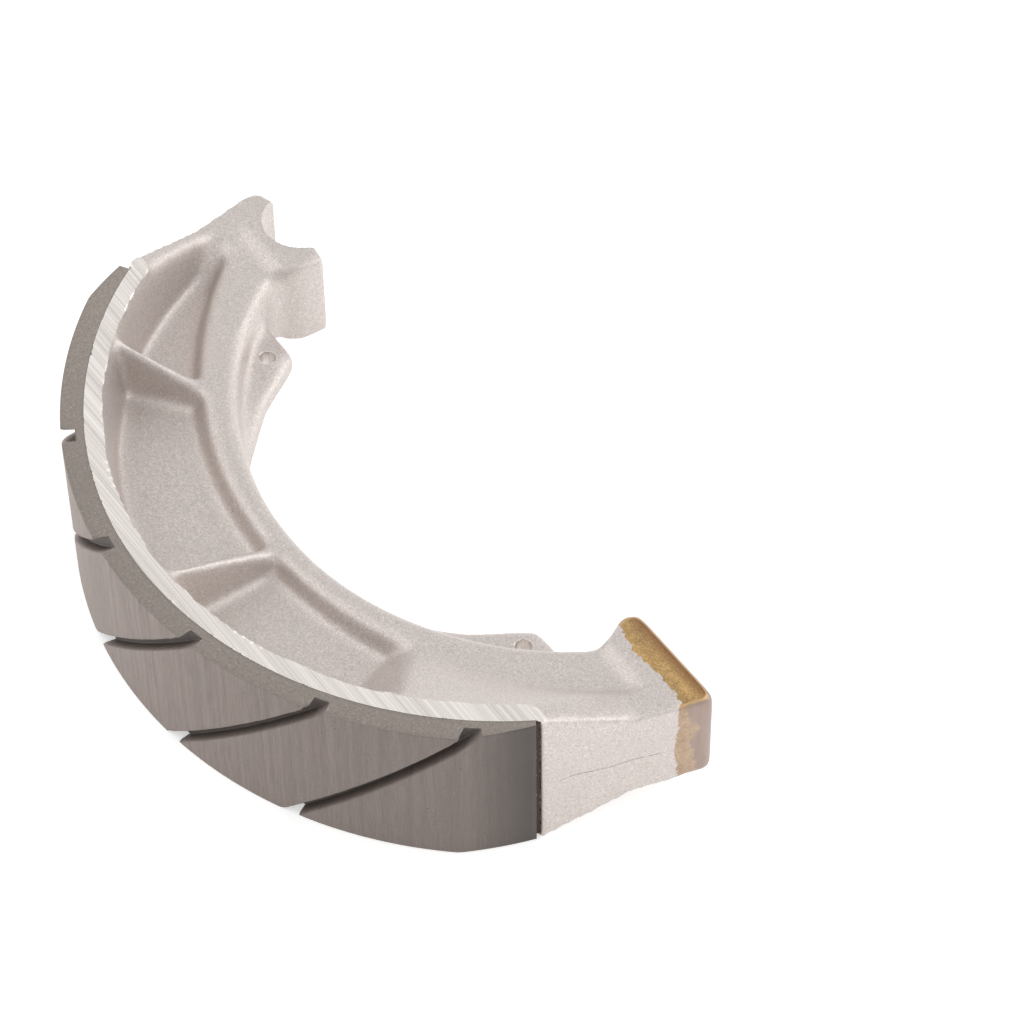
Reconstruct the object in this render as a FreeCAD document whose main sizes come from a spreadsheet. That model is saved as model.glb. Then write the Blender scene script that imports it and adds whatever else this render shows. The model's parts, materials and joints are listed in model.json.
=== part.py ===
# Leading or trailing shoe of a 180 mm drum brake: one cast web with a bonded, grooved lining
# and a steel cap where the cam pushes. Millimetres; the drum axis is Z and the shoe lies flat.
# X runs along the shoe's chord, from the anchor end to the cam end; the lining faces -Y.
import FreeCAD, Part
import math
import os

import Sketcher

Vector = FreeCAD.Vector

SIZES = [
    # drum fit; the x places of both ends are measured in from the drum's radius
    ("shoe_width", 36.4),
    ("friction_radius", 90.0),
    ("lining_thickness", 4.8),
    ("rim_thickness", 3.8),
    ("shoulder_height", 1.2),
    # lining
    ("lining_start_angle", 211.9),
    ("lining_end_angle", 329.5),
    ("lining_gap", 0.7),
    ("start_taper_angle", 6.7),
    ("start_taper_drop", 2.3),
    ("end_taper_angle", 9.8),
    ("end_taper_drop", 3.5),
    # lining grooves
    ("groove_count", 5),
    ("groove_pitch_angle", 19.5),
    ("groove_first_angle", 231.5),
    ("groove_lead_angle", 24.2),
    ("groove_depth", 2.9),
    ("groove_mouth", 3.4),
    # rail, the inner edge of the web, and the foot of the slope that rises to the rim: two circles
    # whose centres are above the drum's axis
    ("rail_centre", 18.5),
    ("rail_inset", 19.6),
    ("rail_half_height", 8.2),
    ("rail_round", 2.4),
    ("web_rise_angle", 2.7),
    ("foot_centre", 34.9),
    ("foot_outset", 1.8),
    # ends of the casting
    ("end_half_height", 11.4),
    ("taper_start", 41.5),
    ("taper_finish", 24.0),
    ("anchor_step", 16.1),
    ("cam_step", 18.9),
    ("plate_lap", 1.5),
    ("neck_depth", 17.6),
    ("neck_round", 3.6),
    # anchor end; its lobes reach out and in from the pin's axis
    ("anchor_inset", 19.9),
    ("anchor_y", 4.2),
    ("anchor_radius", 8.7),
    ("lobe_depth", 6.3),
    ("lobe_inner_reach", 12.8),
    ("lobe_neck_reach", 12.3),
    ("lobe_neck_y", 12.8),
    ("lobe_outer_reach", 12.6),
    ("lobe_waist_reach", 12.7),
    ("lobe_waist_y", 12.0),
    ("arm_bend_inset", 9.6),
    ("arm_bend_y", 24.5),
    ("lobe_outer_round", 2.4),
    ("lobe_inner_round", 0.9),
    # cam end
    ("cam_face_depth", 8.1),
    ("cam_face_inset", 5.1),
    ("cam_face_width", 27.9),
    ("cam_neck_shift", 0.3),
    ("cam_neck_y", 12.5),
    ("cam_outer_round", 1.6),
    ("cam_inner_round", 2.8),
    ("cap_length", 6.5),
    ("cap_wall", 2.0),
    # pockets
    ("floor_half_height", 3.3),
    ("pocket_draft", 6.5),
    ("rail_wall_draft", 19.0),
    ("rail_wall_foot", 1.8),
    ("start_width", 4.6),
    ("start_round", 1.8),
    ("start_wall_draft", 50.0),
    ("end_wall_x", 35.0),
    ("end_wall_y", 52.5),
    ("end_wall_turn", 19.8),
    ("end_wall_lean", 46.0),
    # ribs
    ("rib_root", 4.0),
    ("rib_draft", 5.5),
    ("rib_one_x", 43.8),
    ("rib_one_y", 46.0),
    ("rib_one_turn", 49.8),
    ("rib_two_x", 1.6),
    ("rib_two_y", 58.0),
    ("rib_two_turn", 0.6),
    # spring tabs; angles are about the rail's centre, from the shoe's midline
    ("tab_thickness", 4.9),
    ("tab_root_angle", 20.0),
    ("tab_waist_angle", 34.8),
    ("tab_waist_reach", 5.5),
    ("tab_tip_angle", 47.3),
    ("tab_tip_reach", 9.7),
    ("tab_end_angle", 54.4),
    ("tab_bury", 3.0),
    ("tab_waist_round", 14.0),
    ("tab_tip_round", 3.2),
    ("hole_angle", 45.4),
    ("hole_reach", 4.2),
    ("hole_radius", 1.8),
    ("lip_radius", 2.9),
    ("lip_height", 0.4),
]
NUMBER = dict(SIZES)


class Term:
    """A length or angle with its number, for drawing, and its formula, for the constraint."""

    def __init__(self, value, text):
        self.value, self.text = value, text

    def __add__(self, other):
        return Term(self.value + other.value, "(%s + %s)" % (self.text, other.text))

    def __sub__(self, other):
        return Term(self.value - other.value, "(%s - %s)" % (self.text, other.text))

    def __mul__(self, factor):
        return Term(self.value * factor, "(%s * %s)" % (self.text, factor))

    def __neg__(self):
        return self * -1


def size(name):
    return Term(float(NUMBER[name]), "sizes." + name)


def number(value):
    return Term(value, "(%s)" % value)


def polar(radius, angle):
    """The point at a radius and angle about the drum axis."""
    turn = math.radians(angle.value)
    return (
        Term(radius.value * math.cos(turn), "(%s * cos(%s))" % (radius.text, angle.text)),
        Term(radius.value * math.sin(turn), "(%s * sin(%s))" % (radius.text, angle.text)),
    )


DRUM = size("friction_radius")
WIDTH = size("shoe_width")
HALF_WIDTH = WIDTH * 0.5
RIM = DRUM - size("lining_thickness")
RIM_INNER = RIM - size("rim_thickness")
SHOULDER = RIM + size("shoulder_height")
RAIL = DRUM - size("rail_inset")
FOOT = DRUM + size("foot_outset")
RAIL_CENTRE = size("rail_centre")
FOOT_CENTRE = size("foot_centre")
ANCHOR_X = DRUM - size("anchor_inset")
CAM_OUTER_X = DRUM - size("cam_face_inset")
CAM_INNER_X = CAM_OUTER_X - size("cam_face_width")
FLOOR = size("floor_half_height")
ZERO = number(0.0)
AXIS = (ZERO, ZERO)
UP, ACROSS = Vector(0, 0, 1), Vector(1, 0, 0)


def gap_angle():
    """The angle that the gap at a lining end takes at the rim."""
    gap = size("lining_gap")
    angle = math.degrees(gap.value / RIM.value)
    return Term(angle, "(%s / %s * 57.29578)" % (gap.text, RIM.text))


def sloped(height, angle):
    """How far a wall at an angle from upright leans over a height."""
    lean = height.value * math.tan(math.radians(angle.value))
    return Term(lean, "(%s * tan(%s))" % (height.text, angle.text))


def web_height(y):
    """Half the web's thickness at a given y: it rises from the middle of the rail to the ends."""
    run = RAIL - RAIL_CENTRE + y
    return size("rail_half_height") + sloped(run, size("web_rise_angle"))


def circle_x(y, centre, radius):
    """How far from the midline a circle centred on the Y axis is, at a given y."""
    off = y - centre
    reach = math.sqrt(radius.value**2 - off.value**2)
    return Term(reach, "sqrt(%s ^ 2 - %s ^ 2)" % (radius.text, off.text))


def from_rail(angle, reach):
    """The point at an angle about the rail's centre and a reach in from the rail."""
    radius, turn = RAIL - reach, math.radians(angle.value)
    x = Term(radius.value * math.sin(turn), "(%s * sin(%s))" % (radius.text, angle.text))
    y = Term(radius.value * math.cos(turn), "(%s * cos(%s))" % (radius.text, angle.text))
    return x, RAIL_CENTRE - y


document = FreeCAD.newDocument("brake_shoe")
sheet = document.addObject("Spreadsheet::Sheet", "sizes")
for row, (name, value) in enumerate(SIZES, 1):
    sheet.set("A%d" % row, name)
    sheet.set("B%d" % row, str(value))
    sheet.setAlias("B%d" % row, name)
document.recompute()


# Helpers

def new_body(name):
    body = document.addObject("PartDesign::Body", name)
    body.Label = name
    return body


def origin_plane(body, role):
    return next(o for o in body.Origin.OriginFeatures if o.Role == role)


def new_sketch(body, name, role="XY_Plane", height=None, tilt=None, turn=None):
    """A sketch on an origin plane, raised, and tilted about X or turned about its normal."""
    sketch = body.newObject("Sketcher::SketchObject", name)
    sketch.AttachmentSupport = [(origin_plane(body, role), "")]
    sketch.MapMode = "FlatFace"
    if tilt is not None:
        sketch.AttachmentOffset = FreeCAD.Placement(Vector(), FreeCAD.Rotation(Vector(1, 0, 0), 1))
        sketch.setExpression("AttachmentOffset.Rotation.Angle", tilt.text)
    if turn is not None:
        sketch.AttachmentOffset = FreeCAD.Placement(Vector(), FreeCAD.Rotation(Vector(0, 0, 1), 1))
        sketch.setExpression("AttachmentOffset.Rotation.Angle", turn.text)
    if height is not None:
        sketch.setExpression("AttachmentOffset.Base.z", height.text)
    return sketch


def bind(sketch, kind, geometry, point, term):
    """Ties one measure of a sketch to its formula, if it has one."""
    if not isinstance(term, Term):
        return
    where = (geometry, point) if point is not None else (geometry,)
    index = sketch.addConstraint(Sketcher.Constraint(kind, *where, term.value))
    sketch.setExpression("Constraints[%d]" % index, term.text)


def draw(sketch, corners, arcs=None):
    """A closed outline through corners (x, y). arcs maps a corner's index to the centre, radius and
    turn (+1 anticlockwise) of the arc that leaves it. A measure made with free() gets no constraint,
    because the rest of the outline settles it."""
    arcs = arcs or {}
    at = [(as_number(x), as_number(y)) for x, y in corners]
    count = len(corners)
    for i in range(count):
        a, b = at[i], at[(i + 1) % count]
        if i not in arcs:
            sketch.addGeometry(Part.LineSegment(Vector(*a, 0), Vector(*b, 0)), False)
            continue
        (cx, cy), radius, way = arcs[i]
        cx, cy = as_number(cx), as_number(cy)
        angles = [math.atan2(p[1] - cy, p[0] - cx) for p in (a, b)]
        circle = Part.Circle(Vector(cx, cy, 0), Vector(0, 0, 1), as_number(radius))
        first, last = angles if way > 0 else angles[::-1]
        sketch.addGeometry(Part.ArcOfCircle(circle, first, last), False)
    ends = [(1, 2) if i not in arcs or arcs[i][2] > 0 else (2, 1) for i in range(count)]
    for i in range(count):
        j = (i + 1) % count
        sketch.addConstraint(Sketcher.Constraint("Coincident", i, ends[i][1], j, ends[j][0]))
    for i, ((cx, cy), radius, way) in arcs.items():
        bind(sketch, "Radius", i, None, radius)
        bind(sketch, "DistanceX", i, 3, cx)
        bind(sketch, "DistanceY", i, 3, cy)
    for i, (x, y) in enumerate(corners):
        bind(sketch, "DistanceX", i, ends[i][0], x)
        bind(sketch, "DistanceY", i, ends[i][0], y)
    return sketch


def as_number(measure):
    return measure.value if isinstance(measure, Term) else measure


def free(value):
    """A starting value for a measure that has no constraint of its own."""
    return float(value)


def pad(body, sketch, name, length, midplane=True):
    feature = body.newObject("PartDesign::Pad", name)
    feature.Profile = sketch
    feature.Midplane = midplane
    feature.setExpression("Length", length.text)
    return feature


def loft(body, kind, name, sections, ruled):
    feature = body.newObject(kind, name)
    feature.Profile = sections[0]
    feature.Sections = sections[1:]
    feature.Ruled = ruled
    return feature


def upright_edges(shape, spots, reach=1.2):
    """The names of the edges along Z nearest to the given plan positions."""
    names = []
    for i, edge in enumerate(shape.Edges, 1):
        a, b = edge.Vertexes[0].Point, edge.Vertexes[-1].Point
        if abs(a.x - b.x) < 0.01 and abs(a.y - b.y) < 0.01 and abs(a.z - b.z) > 1:
            if any(math.hypot(a.x - as_number(x), a.y - as_number(y)) < reach for x, y in spots):
                names.append("Edge%d" % i)
    return names


def edges_where(shape, test):
    """The names of the edges whose points all pass the test."""
    names = []
    for i, edge in enumerate(shape.Edges, 1):
        first, last = edge.ParameterRange
        points = [edge.valueAt(first + (last - first) * share) for share in (0.03, 0.5, 0.97)]
        if all(test(point) for point in points):
            names.append("Edge%d" % i)
    return names


def round_edges(body, base, name, edges, radius=None):
    """A fillet whose radius is the size of the same name, or a given one."""
    feature = body.newObject("PartDesign::Fillet", name)
    feature.Base = (base, edges)
    feature.setExpression("Radius", (radius or size(name)).text)
    document.recompute()
    return feature


def body_from(name, base):
    """A body that goes on from a shape made by booleans."""
    body = new_body(name)
    body.BaseFeature = base
    document.recompute()
    return body


def boolean(kind, name, base, tool):
    joined = document.addObject("Part::" + kind, name)
    joined.Base, joined.Tool = base, tool
    return joined


def fuse(name, shapes):
    joined = document.addObject("Part::MultiFuse", name)
    joined.Shapes = shapes
    joined.Refine = True
    return joined


def mirrored(name, source, normal):
    copy = document.addObject("Part::Mirroring", name)
    copy.Source = source
    copy.Base = Vector(0, 0, 0)
    copy.Normal = normal
    return copy


# Casting: outline of the whole shoe, rim to rail and end to end

def inner_side():
    """Corners of the rail side from the cam end's neck to the anchor end's, with the rail's arc."""
    neck = -size("neck_depth")
    neck_x = circle_x(neck, RAIL_CENTRE, RAIL).value
    cam_neck = (CAM_INNER_X + size("cam_neck_shift"), -size("cam_neck_y"))
    lobe_neck = (-(ANCHOR_X - size("lobe_neck_reach")), -size("lobe_neck_y"))
    corners = [cam_neck, (free(neck_x), neck), (free(-neck_x), neck), lobe_neck]
    return corners, ((ZERO, RAIL_CENTRE), RAIL, -1)


def casting_outline():
    body = new_body("outline")
    start = size("lining_start_angle") - gap_angle()
    finish = size("lining_end_angle") + gap_angle()
    lobe = -size("lobe_depth")
    notch_reach = math.sqrt(NUMBER["anchor_radius"]**2 - (lobe.value + NUMBER["anchor_y"]) ** 2)
    seat_start, seat_end = polar(RIM, start), polar(RIM, finish)
    side, rail = inner_side()
    cam_outer = (CAM_OUTER_X, -size("cam_face_depth"))
    cam_inner = (CAM_INNER_X, -size("cam_face_depth"))
    lobe_inner = (-(ANCHOR_X - size("lobe_inner_reach")), lobe)
    lobe_outer = (-(ANCHOR_X + size("lobe_outer_reach")), lobe)
    corners = [
        (seat_end[0], free(seat_end[1].value)),
        polar(SHOULDER, finish),
        cam_outer,
        cam_inner,
        *side,
        lobe_inner,
        (free(-ANCHOR_X.value + notch_reach), lobe),
        (free(-ANCHOR_X.value - notch_reach), lobe),
        lobe_outer,
        (-(ANCHOR_X + size("lobe_waist_reach")), -size("lobe_waist_y")),
        (-(DRUM - size("arm_bend_inset")), -size("arm_bend_y")),
        polar(SHOULDER, start),
        (seat_start[0], free(seat_start[1].value)),
    ]
    notch = ((-ANCHOR_X, -size("anchor_y")), size("anchor_radius"), -1)
    arcs = {5: rail, 9: notch, 15: (AXIS, RIM, 1)}
    sketch = draw(new_sketch(body, "outline_sketch"), corners, arcs)
    base = pad(body, sketch, "outline_pad", WIDTH)
    document.recompute()
    rounded = {
        "cam_outer_round": [cam_outer],
        "cam_inner_round": [cam_inner],
        "neck_round": side[1:3],
        "lobe_outer_round": [lobe_outer],
        "lobe_inner_round": [lobe_inner],
    }
    for name, spots in rounded.items():
        base = round_edges(body, base, name, upright_edges(base.Shape, spots))
    return body


# Casting: the web plate. Each half is drawn flat, rounded along the rail, tilted up a little
# towards the shoe's ends, and cut off at the middle plane, where the mould parts.

def web_plate():
    body = new_body("web_plate_blank")
    side, rail = inner_side()
    cam_neck, lobe_neck = side[0], side[3]
    lap, inset = size("plate_lap"), size("anchor_radius")
    # past the necks the plate runs into the ends, between the steps and the anchor's notch
    end = (size("anchor_step") + size("anchor_y") + size("anchor_radius")) * -0.5
    reach = circle_x(end, ZERO, RIM_INNER)
    corners = [
        *side,
        (lobe_neck[0] - lap, lobe_neck[1] + lap),
        (lobe_neck[0] - inset, end),
        (free(-reach.value), end),
        (free(reach.value), end),
        (cam_neck[0] + inset, end),
        (cam_neck[0] + lap, cam_neck[1] + lap),
    ]
    arcs = {1: rail, 6: (AXIS, RIM_INNER, 1)}
    sketch = draw(new_sketch(body, "plate_sketch"), corners, arcs)
    plate = pad(body, sketch, "plate_pad", web_height(ZERO), midplane=False)
    plate.Reversed = True
    document.recompute()
    necks = upright_edges(plate.Shape, side[1:3])
    base = round_edges(body, plate, "plate_neck_round", necks, size("neck_round"))
    centre, radius = RAIL_CENTRE.value, RAIL.value

    def on_rail(point):
        return abs(math.hypot(point.x, point.y - centre) - radius) < 0.02 and abs(point.z) < 0.01

    round_edges(body, base, "rail_round", edges_where(base.Shape, on_rail))
    body.Placement = FreeCAD.Placement(Vector(), FreeCAD.Rotation(ACROSS, 1))
    body.setExpression("Placement.Rotation.Angle", "sizes.web_rise_angle")
    body.setExpression("Placement.Base.z", web_height(ZERO).text)
    lower_half = block("lower_half", -DRUM, -DRUM, -WIDTH, DRUM * 2, DRUM * 2, WIDTH)
    upper = boolean("Cut", "upper_plate", body, lower_half)
    return fuse("web_plate", [upper, mirrored("lower_plate", upper, UP)])


# Casting: the open space between rail and rim, whose side slopes up to the rim's inner edge

def space_section(body, name, centre, radius, **raise_by):
    """The space in plan: a circle's segment, closed by the steps in front of the two ends."""
    anchor, cam = -size("anchor_step"), -size("cam_step")
    corners = [
        (free(-circle_x(anchor, centre, radius).value), anchor),
        (free(circle_x(cam, centre, radius).value), cam),
    ]
    arcs = {0: ((ZERO, centre), radius, 1)}
    return draw(new_sketch(body, name, **raise_by), corners, arcs)


def web_space():
    body = new_body("web_space")
    rise = size("web_rise_angle")
    low = space_section(body, "web_edge", FOOT_CENTRE, FOOT, height=web_height(ZERO), tilt=rise)
    high = space_section(body, "rim_edge", ZERO, RIM_INNER, height=HALF_WIDTH)
    loft(body, "PartDesign::AdditiveLoft", "slope", [low, high], True)
    pad(body, high, "above_rim", size("rim_thickness"), False)
    return body


def web_core():
    """The zone that belongs to the web plate alone."""
    body = new_body("web_core")
    pad(body, space_section(body, "web_zone", FOOT_CENTRE, FOOT), "web_core_pad", WIDTH)
    return body


# Casting: the end tapers, from the rim's full width down to the height of the end pads

def end_taper():
    body = new_body("end_taper")
    top, over = size("end_half_height"), HALF_WIDTH + size("rim_thickness")
    corners = [
        (-size("taper_start"), HALF_WIDTH),
        (-size("taper_finish"), top),
        (ZERO, top),
        (ZERO, over),
        (-size("taper_start"), over),
    ]
    sketch = draw(new_sketch(body, "taper_profile", "YZ_Plane"), corners)
    pad(body, sketch, "taper_pad", DRUM * 2.2)
    return body


# Casting: the long curved pocket is a drafted disc about the drum's axis, less what stands in it:
# the rail's side, two ribs, a sloped end wall and the anchor end

ABOVE = HALF_WIDTH + size("rim_thickness")
WALL_HEIGHT = ABOVE - FLOOR
POCKET_FOOT = RIM_INNER - sloped(HALF_WIDTH - FLOOR, size("pocket_draft"))


def turned(name, corners):
    """A body turned about Z from a profile of radii and heights."""
    body = new_body(name)
    feature = body.newObject("PartDesign::Revolution", name + "_turned")
    feature.Profile = draw(new_sketch(body, name + "_profile", "XZ_Plane"), corners)
    feature.ReferenceAxis = (feature.Profile[0], ["V_Axis"])
    feature.Angle = 360
    return body


def stand(body, x, y, turn=None):
    """Moves a body to x, y and turns it about Z."""
    body.Placement = FreeCAD.Placement(Vector(), FreeCAD.Rotation(UP, 1))
    body.setExpression("Placement.Base.x", x.text)
    body.setExpression("Placement.Base.y", y.text)
    body.setExpression("Placement.Rotation.Angle", (turn or ZERO).text)
    return body


def pocket_disc():
    """The pocket's outer wall leans out from its floor and meets the slope at the rim's edge."""
    top = RIM_INNER + sloped(ABOVE - HALF_WIDTH, size("pocket_draft"))
    return turned("pocket_disc", [(ZERO, FLOOR), (POCKET_FOOT, FLOOR), (top, ABOVE), (ZERO, ABOVE)])


def rail_side():
    """The rail's side of the pocket, drafted about the slope's own centre."""
    foot, draft = FOOT + size("rail_wall_foot"), size("rail_wall_draft")
    low, high = foot + sloped(FLOOR, draft), foot - sloped(WALL_HEIGHT, draft)
    body = turned("rail_side", [(ZERO, ZERO), (low, ZERO), (high, ABOVE), (ZERO, ABOVE)])
    return stand(body, ZERO, FOOT_CENTRE)


def standing(name, length, corners):
    """A wall along Y, from its profile across."""
    body = new_body(name)
    pad(body, draw(new_sketch(body, name + "_profile", "XZ_Plane"), corners), name + "_pad", length)
    return body


def rib(name, x, y, turn):
    """A thin drafted wall across the pocket, through x, y."""
    draft = size("rib_draft")
    low = size("rib_root") * 0.5 + sloped(FLOOR, draft)
    high = size("rib_root") * 0.5 - sloped(WALL_HEIGHT, draft)
    corners = [(-low, ZERO), (low, ZERO), (high, ABOVE), (-high, ABOVE)]
    return stand(standing(name, DRUM, corners), x, y, turn)


def end_wall():
    """The sloped wall that closes the pocket towards the cam end; its foot passes through x, y."""
    lean = size("end_wall_lean")
    low, high = -sloped(FLOOR, lean), sloped(WALL_HEIGHT, lean)
    corners = [(low, ZERO), (DRUM * 1.4, ZERO), (DRUM * 1.4, ABOVE), (high, ABOVE)]
    wall = standing("end_wall", DRUM * 1.6, corners)
    return stand(wall, size("end_wall_x"), -size("end_wall_y"), size("end_wall_turn"))


def start_angle():
    """How far below the X axis, at the anchor side, the pocket's floor has narrowed to its start
    width: there a circle inside the outer wall by that width meets the rail side's foot."""
    reach, foot = POCKET_FOOT - size("start_width"), FOOT + size("rail_wall_foot")
    drop = (foot.value**2 - FOOT_CENTRE.value**2 - reach.value**2) / (2 * reach.value * FOOT_CENTRE.value)
    text = "asin((%s ^ 2 - %s ^ 2 - %s ^ 2) / (2 * %s * %s))"
    text %= (foot.text, FOOT_CENTRE.text, reach.text, reach.text, FOOT_CENTRE.text)
    return Term(math.degrees(math.asin(drop)), text)


def start_foot():
    """Where the start wall's foot crosses the middle of the pocket's floor."""
    x, y = polar(POCKET_FOOT - size("start_width") * 0.5, start_angle())
    return -x, -y


def start_wall():
    """The drafted wall that closes the pocket towards the anchor, square to the rim's arc."""
    draft = size("start_wall_draft")
    low, high = -sloped(FLOOR, draft), sloped(WALL_HEIGHT, draft)
    corners = [(low, ZERO), (DRUM * 2, ZERO), (DRUM * 2, ABOVE), (high, ABOVE)]
    x, y = start_foot()
    body = new_body("start_wall")
    sketch = draw(new_sketch(body, "start_wall_profile", "YZ_Plane"), corners)
    pad(body, sketch, "start_wall_pad", DRUM * 2.6)
    return stand(body, x, y, start_angle())


def pocket():
    """The upper side's pocket, with rounded corners at its narrow end."""
    walls = [
        rail_side(),
        rib("rib_one", -size("rib_one_x"), -size("rib_one_y"), -size("rib_one_turn")),
        rib("rib_two", size("rib_two_x"), -size("rib_two_y"), size("rib_two_turn")),
        end_wall(),
        start_wall(),
    ]
    body = body_from("pocket", boolean("Cut", "pocket_space", pocket_disc(), fuse("pocket_walls", walls)))
    start = start_foot()

    def rises_at_start(edge):
        low, high = sorted((vertex.Point for vertex in edge.Vertexes), key=lambda point: point.z)
        near = math.hypot(low.x - start[0].value, low.y - start[1].value) < RIM.value * 0.06
        return near and high.z - low.z > WALL_HEIGHT.value * 0.9

    edges = body.BaseFeature.Shape.Edges
    corners = ["Edge%d" % i for i, edge in enumerate(edges, 1) if rises_at_start(edge)]
    round_edges(body, body.Tip, "start_round", corners)
    return body


# Casting: spring tabs

def tab():
    body = new_body("tab")
    bury = -size("tab_bury")
    waist = from_rail(size("tab_waist_angle"), size("tab_waist_reach"))
    tip = from_rail(size("tab_tip_angle"), size("tab_tip_reach"))
    corners = [
        from_rail(size("tab_root_angle"), ZERO),
        waist,
        tip,
        from_rail(size("tab_end_angle"), ZERO),
        from_rail(size("tab_end_angle"), bury),
        from_rail(size("tab_waist_angle"), bury),
        from_rail(size("tab_root_angle"), bury),
    ]
    base = pad(body, draw(new_sketch(body, "tab_sketch"), corners), "tab_pad", size("tab_thickness"))
    document.recompute()
    for name, spot in (("tab_waist_round", waist), ("tab_tip_round", tip)):
        base = round_edges(body, base, name, upright_edges(base.Shape, [spot]))
    return body


def upright_cylinder(name, place, radius, height):
    cylinder = document.addObject("Part::Cylinder", name)
    cylinder.setExpression("Radius", radius.text)
    cylinder.setExpression("Height", height.text)
    cylinder.setExpression("Placement.Base.x", place[0].text)
    cylinder.setExpression("Placement.Base.y", place[1].text)
    cylinder.setExpression("Placement.Base.z", (height * -0.5).text)
    return cylinder


def with_tabs(web):
    """Joins both tabs to the web, with a raised lip round each spring hole, and drills the holes."""
    cam_tab = tab()
    place = from_rail(size("hole_angle"), size("hole_reach"))
    lip_height = size("tab_thickness") + size("lip_height") * 2
    lip = upright_cylinder("hole_lip", place, size("lip_radius"), lip_height)
    hole = upright_cylinder("spring_hole", place, size("hole_radius"), WIDTH)
    joined = fuse("web_with_tabs", [
        web, cam_tab, mirrored("anchor_tab", cam_tab, ACROSS),
        lip, mirrored("anchor_hole_lip", lip, ACROSS),
    ])
    holes = fuse("spring_holes", [hole, mirrored("anchor_spring_hole", hole, ACROSS)])
    return boolean("Cut", "drilled", joined, holes)


# Cam end: the nose of the casting and the steel cap pressed over it

def block(name, x, y, z, length, depth, height):
    box = document.addObject("Part::Box", name)
    for prop, term in (("Length", length), ("Width", depth), ("Height", height)):
        box.setExpression(prop, term.text)
    for axis, term in (("x", x), ("y", y), ("z", z)):
        box.setExpression("Placement.Base." + axis, term.text)
    return box


def cam_nose():
    """The part of the casting's end that fills the cap."""
    wall = size("cap_wall")
    height = size("end_half_height") * 2 - wall * 2
    length = size("cam_face_width") - wall * 2.6
    y = -size("cam_face_depth") - size("cap_length") * 1.5
    depth = size("cap_length") * 1.5 - wall
    return block("cam_nose", CAM_INNER_X + wall, y, height * -0.5, length, depth, height)


def cap_zone():
    wall, length = size("cap_wall"), size("cap_length")
    y = -size("cam_face_depth") - length
    width = size("cam_face_width") + wall * 4
    return block("cap_zone", CAM_INNER_X - wall * 2, y, -HALF_WIDTH, width, length * 1.5, WIDTH)


def build_casting():
    above = fuse("open_above", [web_space(), end_taper()])
    off_frame = fuse("off_frame", [above, mirrored("open_below", above, UP), web_core()])
    frame = boolean("Cut", "rim_and_ends", casting_outline(), off_frame)
    web = fuse("rim_and_web", [frame, web_plate()])
    upper = pocket()
    web = boolean("Cut", "upper_pocketed", web, upper)
    web = boolean("Cut", "both_pocketed", web, mirrored("lower_pocket", upper, UP))
    drilled = with_tabs(web)
    nose, zone = cam_nose(), cap_zone()
    cap_space = boolean("Cut", "cap_space", zone, nose)
    casting = boolean("Cut", "shoe_casting", drilled, cap_space)
    cap = boolean("Cut", "cam_wear_cap", boolean("Common", "cap_blank", drilled, zone), nose)
    return casting, cap


# Lining: a ring segment with ground-down ends and slanting grooves

def build_lining():
    body = new_body("friction_lining")
    first, last = size("lining_start_angle"), size("lining_end_angle")
    full_start = polar(DRUM, first + size("start_taper_angle"))
    full_end = polar(DRUM, last - size("end_taper_angle"))
    inner_start, inner_end = polar(RIM, first), polar(RIM, last)
    corners = [
        (full_start[0], free(full_start[1].value)),
        (full_end[0], free(full_end[1].value)),
        polar(DRUM - size("end_taper_drop"), last),
        (inner_end[0], free(inner_end[1].value)),
        (inner_start[0], free(inner_start[1].value)),
        polar(DRUM - size("start_taper_drop"), first),
    ]
    arcs = {0: (AXIS, DRUM, 1), 3: (AXIS, RIM, -1)}
    pad(body, draw(new_sketch(body, "lining_sketch"), corners, arcs), "lining_pad", WIDTH)
    groove_in, groove_out = DRUM - size("groove_depth"), DRUM + size("groove_depth")
    half_mouth = size("groove_mouth") * 0.5
    sections = []
    for index, share in enumerate((-0.54, 0.0, 0.54)):
        turn = size("groove_first_angle") + size("groove_lead_angle") * share
        sketch = new_sketch(body, "groove_%d" % index, height=WIDTH * share, turn=turn)
        corners = [
            (groove_in, -half_mouth), (groove_out, -half_mouth),
            (groove_out, half_mouth), (groove_in, half_mouth),
        ]
        sections.append(draw(sketch, corners))
    groove = loft(body, "PartDesign::SubtractiveLoft", "groove", sections, False)
    pattern = body.newObject("PartDesign::PolarPattern", "grooves")
    pattern.Originals = [groove]
    axis = next(o for o in body.Origin.OriginFeatures if o.Role == "Z_Axis")
    pattern.Axis = (axis, [""])
    pattern.setExpression("Occurrences", "sizes.groove_count")
    pattern.setExpression("Angle", "sizes.groove_pitch_angle * (sizes.groove_count - 1)")
    body.Tip = pattern
    return body


def place(part, label):
    """The shoe lies on the side face of its rim, so each piece is raised by half the width."""
    part.Label = label
    part.setExpression("Placement.Base.z", HALF_WIDTH.text)
    return part


casting, cap = build_casting()
lining = build_lining()
parts = [
    place(casting, "shoe_casting"),
    place(cap, "cam_wear_cap"),
    place(lining, "friction_lining"),
]
document.recompute()

for item in document.Objects:
    if "Invalid" in item.State or "Error" in item.State:
        raise RuntimeError("%s is not up to date: %s" % (item.Name, item.State))
os.makedirs("parts", exist_ok=True)
for part in parts:
    shape = part.Shape
    if shape.isNull() or not shape.isValid():
        raise RuntimeError(part.Label + " has no valid shape")
    print("%-16s %9.0f mm3, %d solid(s)" % (part.Label, shape.Volume, len(shape.Solids)))
    shape.exportStep("parts/%s.step" % part.Label)
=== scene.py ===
"""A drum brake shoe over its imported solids: casting and steel cap with rounded edges, ground lining,
their finishes, and a plain studio. Lengths are in millimetres where a name or a comment says so, and
otherwise in metres."""

import json

import bmesh
import bpy
import numpy as np
from bpy.props import FloatProperty, FloatVectorProperty, IntProperty, PointerProperty
from mathutils import Matrix, Vector


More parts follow.
